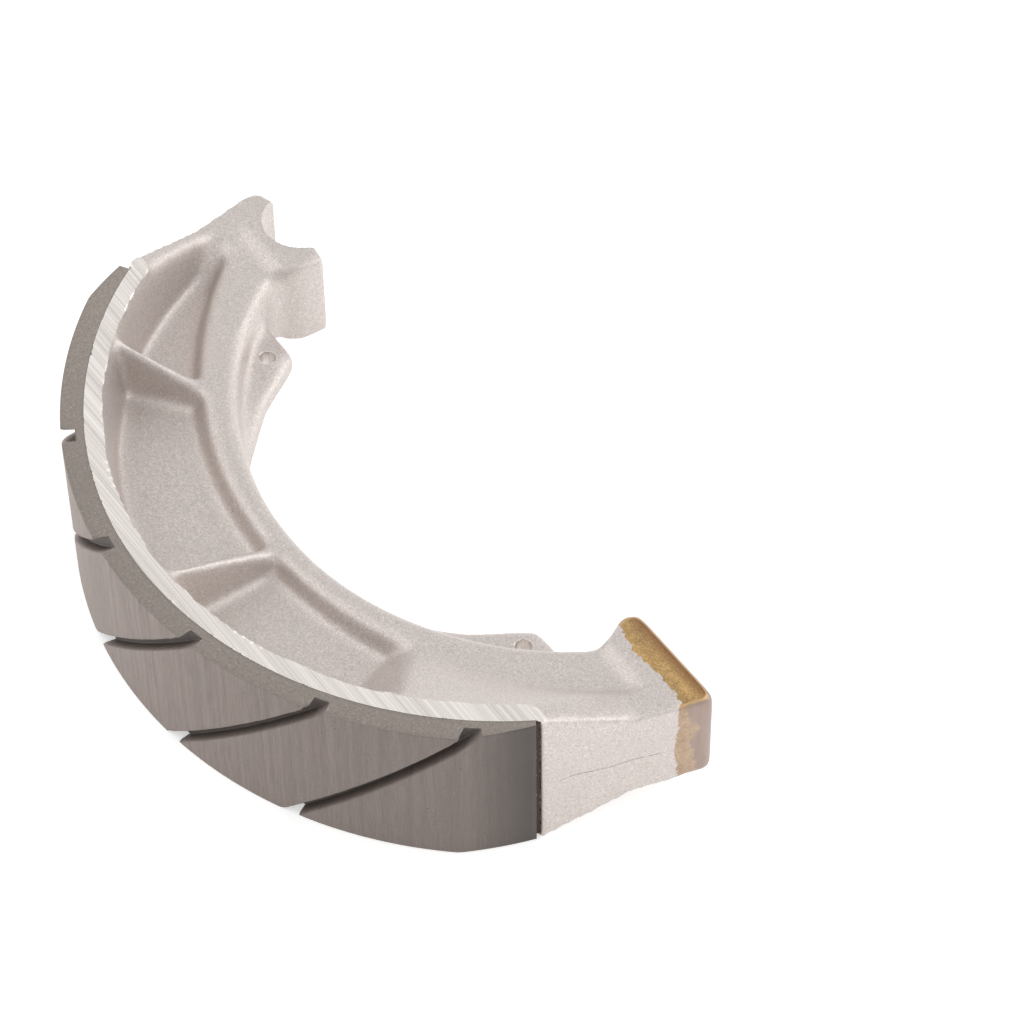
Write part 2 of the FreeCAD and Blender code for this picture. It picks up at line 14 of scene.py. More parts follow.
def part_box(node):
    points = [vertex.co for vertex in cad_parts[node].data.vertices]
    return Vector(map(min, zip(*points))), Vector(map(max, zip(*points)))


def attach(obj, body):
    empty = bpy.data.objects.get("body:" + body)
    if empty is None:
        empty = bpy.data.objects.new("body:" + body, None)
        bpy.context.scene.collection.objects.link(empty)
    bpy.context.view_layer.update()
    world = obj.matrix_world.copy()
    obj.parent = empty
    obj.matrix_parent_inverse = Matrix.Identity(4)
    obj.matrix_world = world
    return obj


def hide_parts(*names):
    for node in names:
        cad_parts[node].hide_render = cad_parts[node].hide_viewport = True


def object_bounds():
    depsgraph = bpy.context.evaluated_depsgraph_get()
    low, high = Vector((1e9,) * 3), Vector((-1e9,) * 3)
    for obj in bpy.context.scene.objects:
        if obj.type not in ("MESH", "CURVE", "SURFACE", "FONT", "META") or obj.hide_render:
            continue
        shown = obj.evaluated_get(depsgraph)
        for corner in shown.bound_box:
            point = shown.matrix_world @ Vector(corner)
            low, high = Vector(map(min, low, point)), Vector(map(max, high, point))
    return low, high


bl_info = {
    "name": "Drum brake shoe",
    "version": (1, 0, 0),
    "blender": (4, 5, 0),
    "location": "3D View > Sidebar > Brake Shoe",
    "description": "Finishes a packed drum brake shoe: casting, lining, cap and studio",
    "category": "Object",
}

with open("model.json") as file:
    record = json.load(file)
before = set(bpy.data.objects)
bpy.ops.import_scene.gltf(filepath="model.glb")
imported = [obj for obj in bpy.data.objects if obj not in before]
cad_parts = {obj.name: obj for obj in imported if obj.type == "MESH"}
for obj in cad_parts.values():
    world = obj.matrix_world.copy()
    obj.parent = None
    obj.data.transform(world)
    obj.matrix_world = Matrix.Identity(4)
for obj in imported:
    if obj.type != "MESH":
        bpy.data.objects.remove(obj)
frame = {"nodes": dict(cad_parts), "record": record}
CAD_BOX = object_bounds()
MM = 0.001
# the shoe's width, and the y at which the cap begins, in millimetres
WIDTH = (CAD_BOX[1].z - CAD_BOX[0].z) / MM
SEAM_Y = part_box("cam_wear_cap")[0].y / MM
# beyond this x lie the cam arm and the cap
CAM_END_X = 0.050
# the arms' outer edges lie about this far from the drum's axis, in millimetres
OUTER_EDGE = 84
# a crease sharper than this many degrees is shaded as an edge
SHARP_ANGLE = 48
# inputs and output of a Mix node, by what it mixes
MIX_SOCKETS = {"RGBA": (6, 7, 2), "VECTOR": (4, 5, 1)}
# how deep a groove is at its six knots, as a share, and the columns of faces between them and
# across the land beside it
GROOVE_DEPTHS = (0.0, 0.25, 1.0, 1.0, 0.25, 0.0)
GROOVE_COLUMNS = (2, 6, 8, 6, 2)
LAND_COLUMNS = 34
# the pixels of the camera's frame, and the width of its sensor in millimetres
FRAME = 1024
SENSOR = 36.0


# Mesh helpers

def ring_faces(rings, around):
    """Quads from each ring of points to the next, where a ring's last point is joined to its first."""
    r = np.arange(rings - 1)[:, None]
    c = np.arange(around)[None, :]
    n = (c + 1) % around
    corners = (r * around + c, r * around + n, (r + 1) * around + n, (r + 1) * around + c)
    return np.stack(np.broadcast_arrays(*corners), -1).reshape(-1, 4)


def make_piece(name, points, quads, triangles, uv, replaces):
    """A mesh object from arrays of points in millimetres and faces, riding on the shoe."""
    mesh = bpy.data.meshes.new(name)
    mesh.from_pydata((np.asarray(points) * MM).tolist(), [], quads.tolist() + triangles.tolist())
    loops = np.empty(len(mesh.loops), int)
    mesh.loops.foreach_get("vertex_index", loops)
    mesh.uv_layers.new(name="Surface").data.foreach_set("uv", uv[loops].astype(np.float32).ravel())
    return seat_piece(name, mesh, replaces)


def seat_piece(name, mesh, replaces):
    """The object of a finished mesh, riding on the shoe in the place of a node."""
    mesh.polygons.foreach_set("use_smooth", np.ones(len(mesh.polygons), bool))
    mesh.validate()
    mesh.update()
    piece = bpy.data.objects.new(name, mesh)
    bpy.context.scene.collection.objects.link(piece)
    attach(piece, "root")
    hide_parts(replaces)
    return piece


def even_skin(nodes, voxel):
    """The outer skin of some nodes taken together, as an even grid of small quads: points in
    millimetres, their normals, edges and quads."""
    work = bmesh.new()
    for node in nodes:
        work.from_mesh(node.data)
    bmesh.ops.remove_doubles(work, verts=work.verts, dist=1e-6)
    mesh = bpy.data.meshes.new("joined")
    work.to_mesh(mesh)
    work.free()
    copy = bpy.data.objects.new("joined", mesh)
    bpy.context.scene.collection.objects.link(copy)
    remesh = copy.modifiers.new("Even grid", "REMESH")
    remesh.mode, remesh.voxel_size = "VOXEL", voxel * MM
    even = bpy.data.meshes.new_from_object(copy.evaluated_get(bpy.context.evaluated_depsgraph_get()))
    bpy.data.objects.remove(copy)
    bpy.data.meshes.remove(mesh)
    arrays = []
    for items, key, kind, count, width in (
            (even.vertices, "co", float, 3, 3), (even.vertices, "normal", float, 3, 3),
            (even.edges, "vertices", int, 2, 2), (even.loops, "vertex_index", int, 1, 4)):
        values = np.empty(len(items) * count, kind)
        items.foreach_get(key, values)
        arrays.append(values.reshape(-1, width))
    bpy.data.meshes.remove(even)
    points, normals, edges, quads = arrays
    return points / MM, normals, edges, quads


def cut_face(off, facing, near, aligned, edges):
    """The points of a cut face: those that lie on it and face as it does, and two rings round them that
    reach its rim. Points that slope a little away from it, as a taper beside it does, are left out, and
    so are those of a wall that meets it. Rim points face between the two, as a bevel does."""
    rings, rim_near = 2, near * 1.6
    face = (off < near) & (facing > aligned)
    bevel = (facing > 0.3) & (facing < 0.9)
    rim = (off < rim_near) & ((facing > aligned) | bevel)
    for _ in range(rings):
        beside = np.zeros(len(face), bool)
        beside[edges[face[edges].any(1)].ravel()] = True
        face |= beside & rim
    return face


def flat_cut(points, normals, edges, level, near):
    """The points of a face machined flat at a height, and a pin that keeps them at that height."""
    mask = cut_face(np.abs(points[:, 2] - level), np.abs(normals[:, 2]), near, 0.995, edges)

    def pin(moved):
        moved[mask, 2] = level
    return mask, pin


def round_cut(points, normals, edges, centre, radius, near, angles=(-360, 360)):
    """The points of a face cut round an upright axis between two angles, and a pin that keeps their
    radius."""
    away = points[:, :2] - centre
    distance = np.maximum(np.linalg.norm(away, axis=1), near)
    facing = np.abs((away * normals[:, :2]).sum(1)) / distance
    turn = np.degrees(np.arctan2(away[:, 1], away[:, 0]))
    inside = (turn > angles[0]) & (turn < angles[1])
    mask = cut_face(np.abs(distance - radius), facing, near, 0.9, edges) & inside

    def pin(moved):
        spoke = moved[mask, :2] - centre
        moved[mask, :2] = centre + spoke * (radius / np.linalg.norm(spoke, axis=1))[:, None]
    return mask, pin


def relaxed(points, edges, cuts, ease, rounds):
    """Rounds a casting's edges and inner corners: in each round every point moves half way to the mean
    of its neighbours, times its ease, which leaves flat and gently curved faces where they are. Points
    inside a cut face stay and pull on nothing. Those on its rim stay in the face, which keeps it sharp."""
    still = np.zeros(len(points), bool)
    for mask, _ in cuts:
        leaves = mask[edges[:, 0]] != mask[edges[:, 1]]
        rim = np.zeros(len(points), bool)
        rim[edges[leaves].ravel()] = True
        still |= mask & ~rim
    edges = edges[~still[edges].any(1)]
    count = np.bincount(edges.ravel(), minlength=len(points))
    step = (0.5 * ease * (~still & (count > 0)))[:, None]
    count = np.maximum(count, 1)[:, None]
    for _ in range(rounds):
        total = np.zeros_like(points)
        np.add.at(total, edges[:, 0], points[edges[:, 1]])
        np.add.at(total, edges[:, 1], points[edges[:, 0]])
        points = points + step * (total / count - points)
        for _, pin in cuts:
            pin(points)
    return points


def metal_skin(s, lining):
    """The casting and its cap as one skin with rounded edges, level with each other at the seam. The
    machined sides, the bonded face, the anchor seat and the spring holes keep their sharp rims, and
    the arms' outer edges are rounded less than the pockets and the cap. The rounding spreads as heat
    does, so its rounds go with the square of its reach over the grid."""
    nodes = [frame["nodes"][name] for name in ("shoe_casting", "cam_wear_cap")]
    points, normals, edges, quads = even_skin(nodes, s.voxel)
    near = s.voxel * 0.4
    cuts = [flat_cut(points, normals, edges, level, near) for level in (0.0, WIDTH)]
    margin = 0.3
    angles = (lining.start_angle - 360 - margin, lining.end_angle - 360 + margin)
    cuts.append(round_cut(points, normals, edges, np.zeros(2), lining.inner_radius, near, angles))
    for mount in frame["record"]["mounts"]:
        if mount["kind"] in ("bore", "clamp"):
            centre = np.array(mount["pos_m"][:2]) / MM
            cuts.append(round_cut(points, normals, edges, centre, mount["dims"]["r_mm"], near))
    # the ease falls over the first width towards the outer edges, and rises over the second to the seam
    edge_width, cap_width = 2, 4
    inwards = OUTER_EDGE - np.linalg.norm(points[:, :2], axis=1)
    outer = np.clip(inwards / edge_width, s.outer_share, 1)
    above = points[:, 1] - SEAM_Y + cap_width
    cap = np.clip(above / cap_width, 0, 1) * (points[:, 0] > 0)
    rounds = round(4 * (s.round_reach / s.voxel) ** 2)
    points = relaxed(points, edges, cuts, np.maximum(outer, cap), rounds)
    return np.clip(points, np.array(CAD_BOX[0]) / MM, np.array(CAD_BOX[1]) / MM), quads


def beside_seam(points, quads, wants_cap):
    """A mesh of the cap's side or the casting's side of a skin, cut flat at the seam and closed there."""
    mesh = bpy.data.meshes.new("half")
    mesh.from_pydata((points * MM).tolist(), [], quads.tolist())
    work = bmesh.new()
    work.from_mesh(mesh)
    seam = SEAM_Y * MM
    everything = work.verts[:] + work.edges[:] + work.faces[:]
    bmesh.ops.bisect_plane(work, geom=everything, dist=1e-7, plane_co=(0, seam, 0), plane_no=(0, 1, 0))
    centres = np.array([face.calc_center_median() for face in work.faces])
    in_cap = (centres[:, 1] > seam) & (centres[:, 0] > CAM_END_X)
    unwanted = [face for face, inside in zip(work.faces, in_cap) if inside != wants_cap]
    bmesh.ops.delete(work, geom=unwanted, context="FACES")
    bmesh.ops.holes_fill(work, edges=[edge for edge in work.edges if edge.is_boundary])
    work.to_mesh(mesh)
    work.free()
    mesh.set_sharp_from_angle(angle=np.radians(SHARP_ANGLE))
    return mesh


def smooth_noise(count, step, seed):
    """Values from -1 to 1 along a line that change over about step samples."""
    rng = np.random.default_rng(seed)
    knots = rng.uniform(-1, 1, int(count / step) + 3)
    return np.interp(np.arange(count) / step, np.arange(len(knots)), knots)


# Material helpers

def shade(colour, factor):
    """A colour made darker or lighter, within what a surface can reflect."""
    return tuple(min(1.0, channel * factor) for channel in colour)


def new_material(name):
    """An empty material, and the tool that adds its nodes."""
    material = bpy.data.materials.new(name)
    material.use_nodes = True
    material.node_tree.nodes.clear()
    return material, Nodes(material.node_tree)


class Nodes:
    """Short ways to add and join shader nodes."""

    def __init__(self, tree):
        self.tree = tree

    def add(self, kind, **values):
        """A node with its settings and its inputs; an input's name has _ for each space."""
        node = self.tree.nodes.new(kind)
        for key, value in values.items():
            if hasattr(node, key):
                setattr(node, key, value)
            else:
                self.plug(node, key.replace("_", " "), value)
        return node

    def plug(self, node, name, value):
        """Gives an input, by its name or number, another node's output, a colour or a number."""
        socket = node.inputs[name]
        if isinstance(value, bpy.types.NodeSocket):
            self.tree.links.new(value, socket)
        elif socket.type == "RGBA":
            socket.default_value = (*value[:3], 1.0)
        else:
            socket.default_value = value

    def output(self, shader, kind="ShaderNodeOutputMaterial"):
        self.plug(self.add(kind), "Surface", shader.outputs[0])

    def math(self, operation, a, b=0.0, clamp=False):
        """A step of arithmetic; one that works on a single number leaves b unused."""
        node = self.add("ShaderNodeMath", operation=operation, use_clamp=clamp)
        self.plug(node, 0, a)
        self.plug(node, 1, b)
        return node.outputs[0]

    def position(self):
        return self.add("ShaderNodeTexCoord").outputs["Object"]

    def split(self, vector):
        return self.add("ShaderNodeSeparateXYZ", Vector=vector).outputs

    def stretched(self, vector, scale):
        return self.add("ShaderNodeMapping", Vector=vector, Scale=scale).outputs[0]

    def noise(self, vector, scale, detail=2.0, roughness=0.5):
        """A cloudy pattern from 0 to 1, with about scale clouds to a metre."""
        node = self.add(
            "ShaderNodeTexNoise", Vector=vector, Scale=scale, Detail=detail, Roughness=roughness)
        return node.outputs["Fac"]

    def range(self, value, low, high, to_low=0.0, to_high=1.0):
        """A value's place between low and high, carried over to a place between two other numbers."""
        node = self.add(
            "ShaderNodeMapRange", Value=value, From_Min=low, From_Max=high, To_Min=to_low, To_Max=to_high)
        return node.outputs[0]

    def ramp(self, value, stops):
        """The colour of a value, which blends evenly from stop to stop."""
        node = self.add("ShaderNodeValToRGB", Fac=value)
        elements = node.color_ramp.elements
        while len(elements) < len(stops):
            elements.new(0.5)
        for element, (place, colour) in zip(elements, stops):
            element.position = place
            element.color = (*colour, 1.0)
        return node.outputs["Color"]

    def shades(self, value, colour, stops):
        """A ramp of one colour, made darker or lighter by the factor of each stop."""
        return self.ramp(value, [(place, shade(colour, factor)) for place, factor in stops])

    def band(self, value, middle, half_width, soft):
        """1 where a value is near the middle of a band, falling to 0 beyond its half width."""
        off = self.math("ABSOLUTE", self.math("SUBTRACT", value, middle))
        return self.range(off, half_width, half_width + soft, 1.0, 0.0)

    def times(self, *values):
        product = values[0]
        for value in values[1:]:
            product = self.math("MULTIPLY", product, value)
        return product

    def polar(self, x, y):
        """The distance from the drum axis, and the angle about it from -180 to 180 degrees."""
        radius = self.math("SQRT", self.math("ADD", self.times(x, x), self.times(y, y)))
        return radius, self.math("DEGREES", self.math("ARCTAN2", y, x))

    def mix(self, share, a, b, kind="RGBA"):
        """A share of b and the rest of a, both colours or, with the kind VECTOR, both normals."""
        node = self.add("ShaderNodeMix", data_type=kind)
        first, second, mixed = MIX_SOCKETS[kind]
        for socket, value in ((0, share), (first, a), (second, b)):
            self.plug(node, socket, value)
        return node.outputs[mixed]

    def bump(self, height, distance, strength):
        node = self.add("ShaderNodeBump", Height=height, Distance=distance, Strength=strength)
        return node.outputs[0]

    def surface(self, colour, roughness, metallic, normal):
        shader = self.add(
            "ShaderNodeBsdfPrincipled", Base_Color=colour, Roughness=roughness, Metallic=metallic,
            Normal=normal)
        self.output(shader)


# Sizes and colours

class CastingFinish(bpy.types.PropertyGroup):
    """The casting's rounding, grain and colours"""
    cast_colour: FloatVectorProperty(
        name="Cast colour", description="Shot-blasted faces", subtype="COLOR",
        default=(0.64, 0.582, 0.552), min=0, max=1)
    cut_colour: FloatVectorProperty(
        name="Machined colour", description="Machined side faces of the rim", subtype="COLOR",
        default=(0.86, 0.805, 0.765), min=0, max=1)
    voxel: FloatProperty(name="Grid", description="Size of the faces, millimetres", default=0.7, min=0.6)
    round_reach: FloatProperty(
        name="Rounding", description="Reach of the rounding of cast edges, millimetres", default=1.75)
    outer_share: FloatProperty(
        name="Outer share", description="Share of the rounding on the arms' outer edges", default=0.35)
    grain: FloatProperty(
        name="Blast grain", description="Size of the blasted grain", default=0.00038, unit="LENGTH")
    grain_depth: FloatProperty(
        name="Grain depth", description="Height of the blasted grain", default=0.00010, unit="LENGTH")
    # the length of the fold's painted shade, a dark line
    fold_shade_length: FloatProperty(
        name="Fold length", description="Dark fold along the parting line of the cam arm", default=0.019,
        unit="LENGTH")


class LiningShape(bpy.types.PropertyGroup):
    """The lining's arc, ramps, grooves and colours"""
    inner_radius: FloatProperty(
        name="Inner radius", description="Face bonded to the rim, millimetres", default=85.2)
    outer_radius: FloatProperty(
        name="Outer radius", description="Face that rubs on the drum, millimetres", default=90.0)
    start_angle: FloatProperty(name="Start angle", description="Anchor side, degrees", default=211.9)
    end_angle: FloatProperty(name="End angle", description="Cam side, degrees", default=329.5)
    start_taper: FloatProperty(name="Start taper", description="Ground ramp, degrees", default=6.7)
    end_taper: FloatProperty(name="End taper", description="Ground ramp, degrees", default=9.8)
    start_radius: FloatProperty(
        name="Start radius", description="At the anchor side's low end, millimetres", default=87.7)
    end_radius: FloatProperty(
        name="End radius", description="At the cam side's low end, millimetres", default=86.5)
    groove_count: IntProperty(name="Grooves", description="Slanting saw cuts", default=5)
    groove_pitch: FloatProperty(
        name="Groove pitch", description="Degrees from groove to groove", default=19.5)
    groove_middle: FloatProperty(
        name="First groove", description="Angle of the first groove at half width", default=231.5)
    groove_lead: FloatProperty(
        name="Groove lead", description="Degrees turned across the width", default=24.2)
    groove_depth: FloatProperty(
        name="Groove depth", description="Below the rubbing face, millimetres", default=2.9)
    groove_mouth: FloatProperty(
        name="Groove mouth", description="Along the rubbing face, millimetres", default=3.4)
    rub_colour: FloatVectorProperty(
        name="Rubbing face", description="Ground face", subtype="COLOR", default=(0.312, 0.252, 0.224))
    side_colour: FloatVectorProperty(
        name="Side face", description="Faces level with the rim", subtype="COLOR",
        default=(0.28, 0.242, 0.212))


class CapFinish(bpy.types.PropertyGroup):
    """The cap's plating and its colours"""
    gold_colour: FloatVectorProperty(
        name="Plating", description="Yellow passivated plating", subtype="COLOR", default=(0.47, 0.30, 0.125))
    edge_colour: FloatVectorProperty(
        name="Burnt edge", description="Orange-brown edges of the plating", subtype="COLOR",
        default=(0.20, 0.08, 0.03))
    worn_colour: FloatVectorProperty(
        name="Worn faces", description="Rubbed and tinted steel", subtype="COLOR",
        default=(0.36, 0.27, 0.232))
    stain_colour: FloatVectorProperty(
        name="Stain", description="Tan stain beside the plating's line", subtype="COLOR",
        default=(0.46, 0.335, 0.235))
    line_y: FloatProperty(
        name="Plating line", description="Where the plating ends on the arm", default=-0.0144, unit="LENGTH")
    ragged: FloatProperty(
        name="Ragged", description="How far the plating's line wanders", default=0.0026, unit="LENGTH")


class StudioSettings(bpy.types.PropertyGroup):
    """Where the camera stands, and the light"""
    turn: FloatProperty(name="Camera turn", description="About the drum axis, degrees", default=56.0)
    pitch: FloatProperty(name="Camera pitch", description="Downwards, radians", default=0.862301904)
    roll: FloatProperty(name="Camera roll", description="Radians", default=-0.011859295)
    focal: FloatProperty(
        name="Focal length", description="In pixels of a 1024 pixel frame", default=4080.7954)
    place: FloatVectorProperty(
        name="Camera place", description="Before the turn, millimetres",
        default=(1.19266, -557.13799, 647.90947))
    key_power: FloatProperty(name="Key light", description="Watts", default=4.6)
    zenith: FloatProperty(name="Zenith", description="Strength of the tent's light overhead", default=0.78)
    horizon: FloatProperty(name="Horizon", description="Strength of the tent's light all round", default=0.98)


# Casting

def blasted(n, place, sizes):
    """Colour, height and painted glints of shot-blasted aluminium: fine grain and soft mottle, with small
    near-white specks of painted highlight laid over them."""
    grain = n.noise(place, 1 / sizes.grain, 2.0, 0.7)
    coarse = n.noise(place, 0.42 / sizes.grain, 2.0, 0.6)
    patch = n.noise(place, 55.0, 2.0)
    tone = n.math("ADD", n.math("MULTIPLY", grain, 0.8), n.math("MULTIPLY", coarse, 0.2))
    colour = n.shades(tone, sizes.cast_colour, [(0.32, 0.74), (0.46, 0.93), (0.56, 1.03), (0.70, 1.26)])
    colour = n.mix(n.range(patch, 0.35, 0.7, 0.0, 0.3), colour, shade(sizes.cast_colour, 0.90))
    # painted highlight: specks mixed towards near white where the blasted grain would glint
    painted_glint = n.range(n.noise(place, 1.35 / sizes.grain, 1.0), 0.66, 0.72, 0.0, 0.45)
    return n.mix(painted_glint, colour, (0.98, 0.97, 0.95)), tone, painted_glint


def machined(n, place, sizes):
    """Colour and height of the rim's side faces: the cutter left straight parallel marks."""
    fine = n.noise(n.stretched(place, (7.0, 2900.0, 7.0)), 1.0, 2.0, 0.6)
    wide = n.noise(n.stretched(place, (5.0, 620.0, 5.0)), 1.0, 2.0, 0.5)
    marks = n.math("ADD", n.math("MULTIPLY", fine, 0.7), n.math("MULTIPLY", wide, 0.3))
    stops = [(0.36, 0.78), (0.47, 0.94), (0.60, 1.10), (0.70, 1.25)]
    return n.shades(marks, sizes.cut_colour, stops), marks


def gap_shade_and_glue(n, place, s):
    """1 in the two narrow gaps at the lining's ends, where glue fills the corner under the shoulder: painted
    shade of the gaps and of the shoulder's edge beside them, in the dark brown of glue.
    """
    x, y, _ = n.split(place)
    radius, angle = n.polar(x, y)
    rough = n.noise(place, 1100.0, 2.0)
    angle = n.math("ADD", angle, n.math("MULTIPLY", n.math("SUBTRACT", rough, 0.5), 0.5))
    # half the gap's width, in degrees
    gap = 0.27
    ends = n.math("ADD", n.band(angle, s.start_angle - 360 - gap, gap, 0.03),
                  n.band(angle, s.end_angle - 360 + gap, gap, 0.03), clamp=True)
    return n.times(ends, n.range(radius, (s.inner_radius - 0.1) * MM, s.inner_radius * MM))


def casting_material(sizes, cap, lining):
    """Blasted aluminium, machined on the upper and lower faces and round the spring holes, with the
    cap's plating where it runs on to the arm, and painted shade, in the dark brown of glue, in the gaps at
    the lining's ends."""
    material, n = new_material("blasted_and_machined_aluminium")
    place = n.position()
    x, y, z = n.split(place)
    cast, tone, painted_glint = blasted(n, place, sizes)
    cut, marks = machined(n, place, sizes)
    above = n.range(z, (WIDTH - 0.30) * MM, (WIDTH - 0.10) * MM)
    below = n.range(z, 0.10 * MM, 0.30 * MM, 1.0, 0.0)
    hole = next(mount for mount in frame["record"]["mounts"] if mount["kind"] == "bore")
    reach = n.math("SUBTRACT", n.math("ABSOLUTE", x), abs(hole["pos_m"][0]))
    rise = n.math("SUBTRACT", y, hole["pos_m"][1])
    from_hole = n.math("SQRT", n.math("ADD", n.times(reach, reach), n.times(rise, rise)))
    bore = hole["dims"]["r_mm"]
    drilled = n.range(from_hole, (bore + 0.05) * MM, (bore + 0.30) * MM, 0.8, 0.0)
    cut_share = n.math("ADD", n.math("ADD", above, below), drilled, clamp=True)
    # the two halves of the mould left a thin fold along the cam arm's outer side; its shade is painted as a
    # dark line
    wave = n.noise(n.stretched(place, (30, 130, 0)), 1.0, 2.0)
    height = n.math("ADD", z, n.math("MULTIPLY", n.math("SUBTRACT", wave, 0.5), 0.0016))
    along_line = n.band(height, (WIDTH / 2 - 0.8) * MM, 0.00004, 0.00014)
    along_arm = n.band(y, -0.0292, sizes.fold_shade_length / 2, 0.0015)
    outer_side = n.range(x, 0.074, 0.0745)
    breaks = n.range(n.noise(place, 900.0, 2.0), 0.38, 0.50)
    fold_shade = n.times(along_line, along_arm, outer_side, breaks)
    # painted shade of the fold, which the mesh lacks
    cast = n.mix(n.math("MULTIPLY", fold_shade, 0.75), cast, shade(sizes.cast_colour, 0.28))
    plated, _ = cap_colours(n, place, cap)
    cast = n.mix(plated_share(n, place, cap), cast, plated)
    # painted shade in the gaps at the lining's ends, in the dark brown of glue
    cast = n.mix(gap_shade_and_glue(n, place, lining), cast, (0.075, 0.040, 0.028))
    colour = n.mix(cut_share, cast, cut)
    dull = n.range(cut_share, 0.0, 1.0, 0.48, 0.30)
    roughness = n.math("SUBTRACT", dull, n.math("MULTIPLY", painted_glint, 0.25))
    grained = n.bump(tone, sizes.grain_depth, 0.7)
    scored = n.bump(marks, 0.00003, 0.8)
    n.surface(colour, roughness, 0.75, n.mix(cut_share, grained, scored, "VECTOR"))
    return material


class SHOE_OT_casting(bpy.types.Operator):
    """Makes the casting with its rounded edges and its blasted and machined finish"""
    bl_idname = "brake_shoe.casting"
    bl_label = "Finish casting"

    def execute(self, context):
        scene = context.scene
        s = scene.shoe_casting
        mesh = beside_seam(*metal_skin(s, scene.shoe_lining), wants_cap=False)
        seat_piece("casting_body", mesh, "shoe_casting")
        mesh.materials.append(casting_material(s, scene.shoe_cap, scene.shoe_lining))
        return {"FINISHED"}


# Lining

def lining_columns(s, z):
    """Angle and radius of the rubbing face for each row z and each column. The columns keep to the
    grooves: between knots that turn with z, the angle runs evenly, and the radius is the drum's less
    the ramps at the ends, or the floor of a groove. A groove's mouth is torn a little wider towards
    the sides."""
    lift = (z / WIDTH - 0.5) * s.groove_lead
    degrees = np.degrees(1 / s.outer_radius)
    half = s.groove_mouth / 2 * degrees
    lip = 0.22 * degrees
    knots = [np.full(len(z), s.start_angle)]
    depths = [0.0, *GROOVE_DEPTHS * s.groove_count, 0.0]
    counts = [LAND_COLUMNS, *GROOVE_COLUMNS] * s.groove_count + [LAND_COLUMNS]
    torn = (0.42 * np.exp(-np.minimum(z, WIDTH - z) / 1.3) + 0.05) * degrees
    for i in range(s.groove_count):
        centre = s.groove_middle + i * s.groove_pitch + lift
        left = torn * (0.6 + smooth_noise(len(z), 1.6, 11 + i)) * 1.4
        right = torn * smooth_noise(len(z), 2.2, 31 + i) * 0.5
        knots += [centre - half - lip - left, centre - half - left * 0.8, centre - half + lip * 0.3,
                  centre + half - lip * 0.3, centre + half + right, centre + half + lip + right]
    knots.append(np.full(len(z), s.end_angle))
    angle, depth = [], []
    for a, b, da, db, count in zip(knots[:-1], knots[1:], depths[:-1], depths[1:], counts):
        share = np.arange(count)[None, :] / count
        angle.append(a[:, None] * (1 - share) + b[:, None] * share)
        depth.append(np.broadcast_to(da * (1 - share) + db * share, angle[-1].shape))
    angle.append(knots[-1][:, None])
    depth.append(np.zeros((len(z), 1)))
    angle, depth = np.concatenate(angle, 1), np.concatenate(depth, 1)
    into_start = np.clip((angle - s.start_angle) / s.start_taper, 0, 1)
    into_end = np.clip((s.end_angle - angle) / s.end_taper, 0, 1)
    ramp_start = s.start_radius + (s.outer_radius - s.start_radius) * into_start
    ramp_end = s.end_radius + (s.outer_radius - s.end_radius) * into_end
    face = np.minimum(ramp_start, ramp_end)
    floor = s.outer_radius - s.groove_depth
    return angle, face + (np.minimum(floor, face) - face) * depth


def lining_mesh(s):
    """A closed section carried along the arc: up the bonded face, out along the upper side, down the
    rubbing face in rows, and back along the lower side. Each part of it lies a share of the way from
    the bonded face to the rubbing face. A fan of triangles closes each end."""
    edge = np.array([0.0, 0.12, 0.3, 0.6])
    rows = np.concatenate([edge, np.linspace(1.0, WIDTH - 1.0, 84), WIDTH - edge[::-1]])
    angle, radius = lining_columns(s, rows)
    worn = np.clip(1 - np.minimum(rows, WIDTH - rows) / 0.3, 0, 1)
    radius = radius - 0.16 * worn[:, None] ** 2
    bonded = np.array([0, len(rows) // 3, 2 * len(rows) // 3])
    upper, lower = np.array([len(rows) - 1]), np.array([0])
    section = [(bonded, 0.0), (upper, 0.0), (upper, 0.35), (upper, 0.7),
               (np.arange(len(rows))[::-1], 1.0), (lower, 0.7), (lower, 0.35)]
    index = np.concatenate([part for part, _ in section])
    share = np.concatenate([np.full(len(part), value) for part, value in section])[:, None]
    turn = np.radians(angle[index])
    reach = s.inner_radius + (radius[index] - s.inner_radius) * share
    z = np.broadcast_to(rows[index][:, None], turn.shape)
    points = np.stack([reach * np.cos(turn), reach * np.sin(turn), z], -1).transpose(1, 0, 2)
    uv = np.stack([turn * s.outer_radius, z], -1).transpose(1, 0, 2) * MM
    columns, around = points.shape[:2]
    quads = ring_faces(columns, around)
    ends = []
    flat, flat_uv = points.reshape(-1, 3), uv.reshape(-1, 2)
    for start, flip in ((0, False), ((columns - 1) * around, True)):
        middle = len(flat)
        ring = start + np.arange(around)
        flat = np.vstack([flat, flat[ring].mean(0)])
        flat_uv = np.vstack([flat_uv, flat_uv[ring].mean(0)])
        fan = np.stack([ring, np.roll(ring, -1), np.full(around, middle)], 1)
        ends.append(fan[:, ::-1] if not flip else fan)
    return flat, quads, np.concatenate(ends), flat_uv


